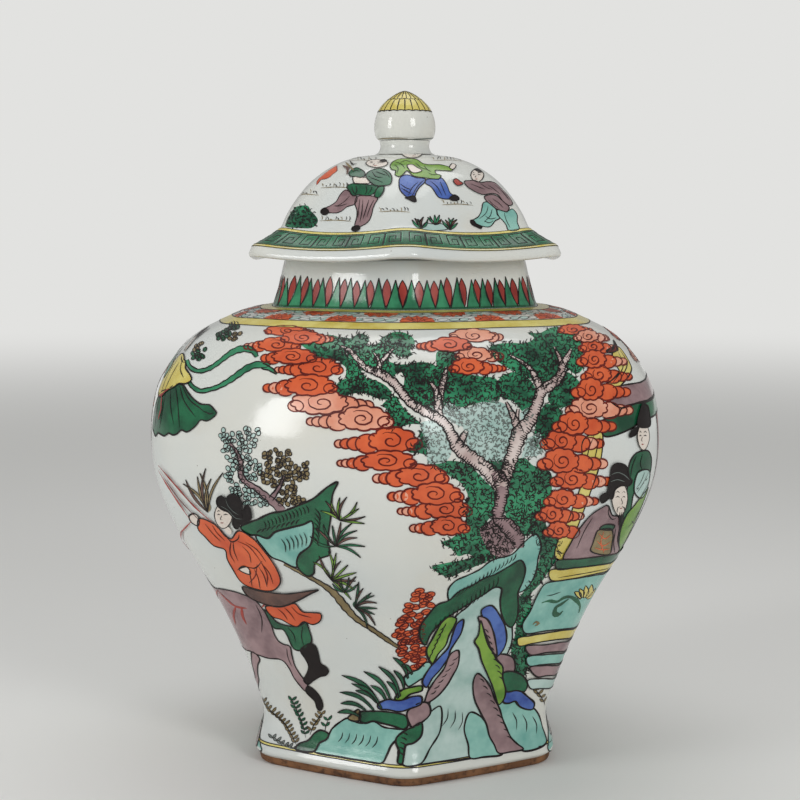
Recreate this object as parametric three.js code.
// A covered baluster jar of hexagonal section in painted, glazed porcelain.
// The jar stands on its foot ring with its axis on Z, and one corner of the hexagon points to -Y.
// All sizes are in millimetres. A radius is measured from the axis to the middle of a flat side.
// The potter forms the jar and its cover from separate sections and joins them with slip at level seams,
// so each section here is a solid of its own, and the cover lifts off along the axis.

import * as THREE from "three";

// Foot ring and base slab
const FOOT_RADIUS = 88.4;
const FOOT_HEIGHT = 5;
const FOOT_CHAMFER = 1.8;
const FOOT_RING_WIDTH = 12;
const BASE_THICKNESS = 8;
const SLAB_CLEARANCE = 0.4;

// Outside of the body, from the glazed bead over the foot up to the neck seam
const BEAD_OVERHANG = 2;
const BEAD_RISE = 2.4;
const WAIST_RADIUS = 86.4;
const WAIST_HEIGHT = 28.5;
const BELLY_RADIUS = 152.7;
const BELLY_HEIGHT = 197;
const NECK_SEAM_RADIUS = 80;
const NECK_SEAM_HEIGHT = 271.5;
const BODY_WALL = 7;

// Neck
const NECK_HEIGHT = 28.5;
const MOUTH_RADIUS = 73;
const NECK_WALL = 6.5;

// Cover: the collar that drops into the mouth, the flared eave, the dome and the finial
const SEAT_GAP = 0.3;
const COLLAR_CLEARANCE = 2;
const COLLAR_DEPTH = 12;
const COLLAR_WALL = 6;
const EAVE_RADIUS = 91.8;
const EAVE_DROOP = 1.8;
const EAVE_EDGE = 7.6;
const EAVE_LEAN = 2.8;
const EAVE_UPTURN = 2.6;
const EAVE_RISE = 16.2;
const DOME_RADIUS = 75.8;
const DOME_RISE = 45;
const DOME_WALL = 6;
const STEM_RADIUS = 14.7;
const STEM_FLARE = 4.6;
const STEM_HEIGHT = 9;
const BUD_RADIUS = 18.5;
const BUD_HEIGHT = 29.5;
const BUD_GIRTH_SHARE = 0.27;

// How far each stretch is pressed from a circle (0) to a hexagon (1)
const FOOT_PRESS = 0.85;
const WAIST_PRESS = 0.8;
const BELLY_PRESS = 0.5;
const SHOULDER_PRESS = 0.45;
const NECK_PRESS = 0.6;
const EAVE_PRESS = 0.95;
const DOME_PRESS = 0.55;

// The hexagon's corners are arcs, whose radius is this share of the section's radius
const CORNER_ROUNDING = 0.22;

// Facets round the axis: a multiple of twelve puts one on each corner and on each side's middle
const SIDES = 6;
const FACETS = 60;
const FINIAL_FACETS = 36;

const HALF_SIDE = Math.PI / SIDES;
const CORNER_CENTRE = (1 - CORNER_ROUNDING) / Math.cos(HALF_SIDE);
const CORNER_REACH = CORNER_CENTRE + CORNER_ROUNDING;
const ARC_START = Math.atan((1 - CORNER_ROUNDING) * Math.tan(HALF_SIDE));

// Distance from the axis to a round-cornered hexagon of radius 1. The angle is zero at a side's middle.
function hexagonReach(angle) {
  const side = 2 * HALF_SIDE;
  const off = Math.abs(angle - side * Math.round(angle / side));
  if (off < ARC_START) return 1 / Math.cos(off);
  const toCorner = HALF_SIDE - off;
  const across = CORNER_CENTRE * Math.sin(toCorner);
  return CORNER_CENTRE * Math.cos(toCorner) + Math.sqrt(CORNER_ROUNDING ** 2 - across ** 2);
}

// One point of a wall's profile: radius, height, press towards the hexagon, and rise at the corners.
function at(radius, height, press = 0, upturn = 0) {
  return { radius, height, press, upturn };
}

// A solid turned from a profile and pressed to the hexagon. The profile runs up the outside and down
// the inside, and either closes on itself or starts and ends on the axis.
function pressed(profile, facets = FACETS) {
  const closed = profile[0].radius > 0;
  const line = closed ? [...profile, profile[0]] : profile;
  const turned = new THREE.LatheGeometry(line.map((p) => new THREE.Vector2(p.radius, p.height)), facets);
  turned.rotateX(Math.PI / 2);
  const place = turned.getAttribute("position");
  for (let i = 0; i < place.count; i++) {
    const { radius, height, press, upturn } = line[i % line.length];
    const angle = (2 * Math.PI * Math.floor(i / line.length)) / facets;
    const excess = hexagonReach(angle) - 1;
    const reach = radius * (1 + press * excess);
    const corner = excess / (CORNER_REACH - 1);
    place.setXYZ(i, reach * Math.cos(angle), reach * Math.sin(angle), height + upturn * corner);
  }
  place.needsUpdate = true;
  return turned;
}

// Points along a smooth line through keys, from one key to another, with steps in each stretch.
function along(keys, from, to, steps) {
  const curve = new THREE.CatmullRomCurve3(
    keys.map((k) => new THREE.Vector3(k.radius, k.height, k.press)), false, "centripetal");
  const count = (to - from) * steps;
  return Array.from({ length: count + 1 }, (_, i) => {
    const t = (from + i / steps) / (keys.length - 1);
    const p = curve.getPoint(Math.min(t, 1));
    const way = curve.getTangent(Math.min(t, 1));
    return { ...at(p.x, p.y, p.z), way };
  });
}

// The same points moved into the wall, square to it.
function offset(points, wall) {
  return points.map((p) => {
    const length = Math.hypot(p.way.x, p.way.y);
    return at(p.radius - (wall * p.way.y) / length, p.height + (wall * p.way.x) / length, p.press);
  });
}

function mix(a, b, share) {
  return a + (b - a) * share;
}

// Keys of the body's outside, as shares of the rise and of the reach. The flank swells from the waist to
// the belly along an S, and the shoulder rounds over to a nearly level ring at the neck seam.
const FLANK = [[0.21, 0.16], [0.435, 0.42], [0.67, 0.76], [0.86, 0.96]];
const SHOULDER = [[0, 1], [0.35, 0.951], [0.59, 0.813], [0.78, 0.624], [0.9, 0.39], [0.965, 0.22], [1, 0]];

function bodyKeys() {
  const beadRadius = FOOT_RADIUS + BEAD_OVERHANG;
  const beadHeight = FOOT_HEIGHT + BEAD_RISE;
  const keys = [
    at(FOOT_RADIUS, FOOT_HEIGHT, FOOT_PRESS),
    at(beadRadius, beadHeight, FOOT_PRESS),
    at(mix(beadRadius, WAIST_RADIUS, 0.52), mix(beadHeight, WAIST_HEIGHT, 0.34), FOOT_PRESS),
    at(WAIST_RADIUS, WAIST_HEIGHT, WAIST_PRESS),
  ];
  for (const [up, out] of FLANK) {
    keys.push(at(mix(WAIST_RADIUS, BELLY_RADIUS, out), mix(WAIST_HEIGHT, BELLY_HEIGHT, up),
      mix(WAIST_PRESS, BELLY_PRESS, up)));
  }
  const belly = keys.length;
  for (const [up, out] of SHOULDER) {
    keys.push(at(mix(NECK_SEAM_RADIUS, BELLY_RADIUS, out), mix(BELLY_HEIGHT, NECK_SEAM_HEIGHT, up),
      mix(BELLY_PRESS, up < 1 ? SHOULDER_PRESS : NECK_PRESS, up)));
  }
  return { keys, belly };
}

const MOUTH_HEIGHT = NECK_SEAM_HEIGHT + NECK_HEIGHT;
const SEAT_HEIGHT = MOUTH_HEIGHT + SEAT_GAP;
const EAVE_TOP = SEAT_HEIGHT + EAVE_RISE;
const DOME_TOP = EAVE_TOP + DOME_RISE;
const BUD_BASE = DOME_TOP + STEM_HEIGHT;

// The unglazed ring that the jar stands on, with a chamfer where the foot was wiped clean.
function footRing() {
  const inner = FOOT_RADIUS - FOOT_RING_WIDTH;
  return pressed([
    at(FOOT_RADIUS - FOOT_CHAMFER, 0, FOOT_PRESS),
    at(FOOT_RADIUS - FOOT_CHAMFER / 3, FOOT_CHAMFER, FOOT_PRESS),
    at(FOOT_RADIUS, FOOT_HEIGHT, FOOT_PRESS),
    at(inner, FOOT_HEIGHT, FOOT_PRESS),
    at(inner + FOOT_CHAMFER / 2, 0, FOOT_PRESS),
  ]);
}

// The slab that closes the body. It lies on the ring, inside the wall.
function baseSlab() {
  const radius = FOOT_RADIUS - BODY_WALL - SLAB_CLEARANCE;
  const top = FOOT_HEIGHT + BASE_THICKNESS;
  return pressed([
    at(0, FOOT_HEIGHT),
    at(radius, FOOT_HEIGHT, FOOT_PRESS),
    at(radius, top, FOOT_PRESS),
    at(0, top),
  ]);
}

// The wall from the foot to the widest point, round the slab.
function lowerBody() {
  const { keys, belly } = bodyKeys();
  const slabTop = FOOT_HEIGHT + BASE_THICKNESS;
  const outside = along(keys, 0, belly, 2);
  const inside = offset(along(keys, 2, belly, 2), BODY_WALL).filter((p) => p.height > slabTop + BODY_WALL);
  inside[inside.length - 1].height = BELLY_HEIGHT;
  return pressed([
    ...outside,
    ...inside.reverse(),
    at(FOOT_RADIUS - BODY_WALL, slabTop, FOOT_PRESS),
    at(FOOT_RADIUS - BODY_WALL, FOOT_HEIGHT, FOOT_PRESS),
  ]);
}

// The shoulder, from the widest point to the level ring that carries the neck.
function upperBody() {
  const { keys, belly } = bodyKeys();
  const outside = along(keys, belly, keys.length - 1, 2);
  const throat = NECK_SEAM_RADIUS - NECK_WALL;
  const inside = offset(outside, BODY_WALL).filter((p) => p.radius > throat + BODY_WALL / 2);
  outside[0].height = BELLY_HEIGHT;
  inside[0].height = BELLY_HEIGHT;
  return pressed([...outside, at(throat, NECK_SEAM_HEIGHT, NECK_PRESS), ...inside.reverse()]);
}

// The short tapered neck with its rounded lip.
function neck() {
  const round = NECK_WALL / 3;
  const inner = MOUTH_RADIUS - NECK_WALL;
  return pressed([
    at(NECK_SEAM_RADIUS, NECK_SEAM_HEIGHT, NECK_PRESS),
    at(mix(NECK_SEAM_RADIUS, MOUTH_RADIUS, 0.34), mix(NECK_SEAM_HEIGHT, MOUTH_HEIGHT, 0.22), NECK_PRESS),
    at(mix(NECK_SEAM_RADIUS, MOUTH_RADIUS, 0.68), mix(NECK_SEAM_HEIGHT, MOUTH_HEIGHT, 0.58), NECK_PRESS),
    at(MOUTH_RADIUS, MOUTH_HEIGHT - round, NECK_PRESS),
    at(MOUTH_RADIUS - round * 0.3, MOUTH_HEIGHT - round * 0.3, NECK_PRESS),
    at(MOUTH_RADIUS - round, MOUTH_HEIGHT, NECK_PRESS),
    at(inner + round, MOUTH_HEIGHT, NECK_PRESS),
    at(inner, MOUTH_HEIGHT - round, NECK_PRESS),
    at(NECK_SEAM_RADIUS - NECK_WALL, NECK_SEAM_HEIGHT, NECK_PRESS),
  ]);
}

const COLLAR_RADIUS = MOUTH_RADIUS - NECK_WALL - COLLAR_CLEARANCE;

// The collar under the cover, which drops into the mouth and keeps the cover centred.
function coverCollar() {
  const foot = SEAT_HEIGHT - COLLAR_DEPTH;
  const inner = COLLAR_RADIUS - COLLAR_WALL;
  const taper = COLLAR_WALL / 6;
  return pressed([
    at(COLLAR_RADIUS - 2 * taper, foot, NECK_PRESS),
    at(COLLAR_RADIUS - taper, foot + 2 * taper, NECK_PRESS),
    at(COLLAR_RADIUS, SEAT_HEIGHT, NECK_PRESS),
    at(inner, SEAT_HEIGHT, NECK_PRESS),
    at(inner, foot, NECK_PRESS),
  ]);
}

// The eave: a flat seat that rests on the lip, a thick edge that droops past it, leans in towards its
// top and turns up at the six corners, and a hollow flare up to the dome.
function coverEave() {
  const bottom = SEAT_HEIGHT - EAVE_DROOP;
  const edgeTop = bottom + EAVE_EDGE;
  const nose = EAVE_EDGE * 0.3;
  const seat = mix(MOUTH_RADIUS, EAVE_RADIUS, 0.4);
  return pressed([
    at(seat, SEAT_HEIGHT, NECK_PRESS),
    at(EAVE_RADIUS - nose, bottom, EAVE_PRESS, EAVE_UPTURN * 0.9),
    at(EAVE_RADIUS - nose * 0.2, bottom + nose * 0.25, EAVE_PRESS, EAVE_UPTURN),
    at(EAVE_RADIUS, bottom + nose * 0.9, EAVE_PRESS, EAVE_UPTURN),
    at(EAVE_RADIUS - EAVE_LEAN * 0.4, mix(bottom, edgeTop, 0.66), EAVE_PRESS, EAVE_UPTURN),
    at(EAVE_RADIUS - EAVE_LEAN, edgeTop, EAVE_PRESS, EAVE_UPTURN),
    at(mix(EAVE_RADIUS - EAVE_LEAN, DOME_RADIUS, 0.4), mix(edgeTop, EAVE_TOP, 0.34),
      mix(EAVE_PRESS, DOME_PRESS, 0.4), EAVE_UPTURN * 0.7),
    at(mix(EAVE_RADIUS - EAVE_LEAN, DOME_RADIUS, 0.74), mix(edgeTop, EAVE_TOP, 0.7),
      mix(EAVE_PRESS, DOME_PRESS, 0.8), EAVE_UPTURN * 0.3),
    at(DOME_RADIUS, EAVE_TOP, DOME_PRESS),
    at(DOME_RADIUS - DOME_WALL, EAVE_TOP, DOME_PRESS),
    at(mix(DOME_RADIUS - DOME_WALL, COLLAR_RADIUS, 0.7), mix(SEAT_HEIGHT, EAVE_TOP, 0.45), NECK_PRESS),
    at(COLLAR_RADIUS - COLLAR_WALL, SEAT_HEIGHT, NECK_PRESS),
  ]);
}

// Shares of the dome's rise and of its reach from the finial to the eave. It leans in above the eave and
// flattens under the finial.
const DOME_SWEEP = [[0, 1], [0.21, 0.92], [0.43, 0.81], [0.66, 0.65], [0.86, 0.42], [0.96, 0.21], [1, 0]];

function domeKeys() {
  const flat = STEM_RADIUS + STEM_FLARE;
  return DOME_SWEEP.map(([up, out]) =>
    at(mix(flat, DOME_RADIUS, out), mix(EAVE_TOP, DOME_TOP, up), DOME_PRESS * out));
}

// The dome, closed at the top under the finial and open below.
function coverDome() {
  const keys = domeKeys();
  const outside = along(keys, 0, keys.length - 1, 2);
  const inside = offset(outside, DOME_WALL).filter((p) => p.height > EAVE_TOP + DOME_WALL / 2);
  outside[outside.length - 1].height = DOME_TOP;
  return pressed([
    at(0, DOME_TOP - DOME_WALL),
    ...inside.reverse(),
    at(DOME_RADIUS - DOME_WALL, EAVE_TOP, DOME_PRESS),
    ...outside,
    at(0, DOME_TOP),
  ]);
}

// The finial's stem, luted to the top of the dome with a hollow flare.
function finialStem() {
  return pressed([
    at(0, DOME_TOP),
    at(STEM_RADIUS + STEM_FLARE, DOME_TOP),
    at(STEM_RADIUS + STEM_FLARE * 0.35, DOME_TOP + STEM_HEIGHT * 0.16),
    at(STEM_RADIUS + STEM_FLARE * 0.08, DOME_TOP + STEM_HEIGHT * 0.4),
    at(STEM_RADIUS, DOME_TOP + STEM_HEIGHT * 0.62),
    at(STEM_RADIUS + STEM_FLARE * 0.12, BUD_BASE),
    at(0, BUD_BASE),
  ], FINIAL_FACETS);
}

// The bud: a ball below its girth, drawn up above it to a soft point. The profile is the girth's share of
// the height, turned through two quarters.
function finialBud() {
  const girth = BUD_BASE + BUD_HEIGHT * BUD_GIRTH_SHARE;
  const tip = BUD_BASE + BUD_HEIGHT;
  const base = STEM_RADIUS + STEM_FLARE * 0.2;
  const below = [0, 1, 2].map((i) => {
    const turn = (i / 3) * (Math.PI / 2);
    return at(mix(base, BUD_RADIUS, Math.sin(turn)), mix(girth, BUD_BASE, Math.cos(turn)));
  });
  const above = [[0, 1], [0.22, 0.965], [0.42, 0.88], [0.58, 0.76], [0.75, 0.56], [0.9, 0.31], [0.975, 0.12]]
    .map(([up, out]) => at(BUD_RADIUS * out, mix(girth, tip, up)));
  return pressed([at(0, BUD_BASE), ...below, ...above, at(0, tip)], FINIAL_FACETS);
}

const glaze = { color: 0xe4e6e0, roughness: 0.12, metalness: 0 };
const biscuit = { color: 0x6b4526, roughness: 0.85, metalness: 0 };
const bareRim = { color: 0xcfc4b2, roughness: 0.6, metalness: 0 };

function piece(name, geometry, finish) {
  const mesh = new THREE.Mesh(geometry, new THREE.MeshStandardMaterial(finish));
  mesh.name = name;
  return mesh;
}

const jar = new THREE.Group();
jar.add(
  piece("foot_ring", footRing(), biscuit),
  piece("base_slab", baseSlab(), bareRim),
  piece("lower_body", lowerBody(), glaze),
  piece("upper_body", upperBody(), glaze),
  piece("neck", neck(), glaze),
);

const cover = new THREE.Group();
cover.add(
  piece("cover_collar", coverCollar(), bareRim),
  piece("cover_eave", coverEave(), glaze),
  piece("cover_dome", coverDome(), glaze),
  piece("finial_stem", finialStem(), glaze),
  piece("finial_bud", finialBud(), glaze),
);

const coveredJar = new THREE.Group();
coveredJar.add(jar, cover);

export default coveredJar;
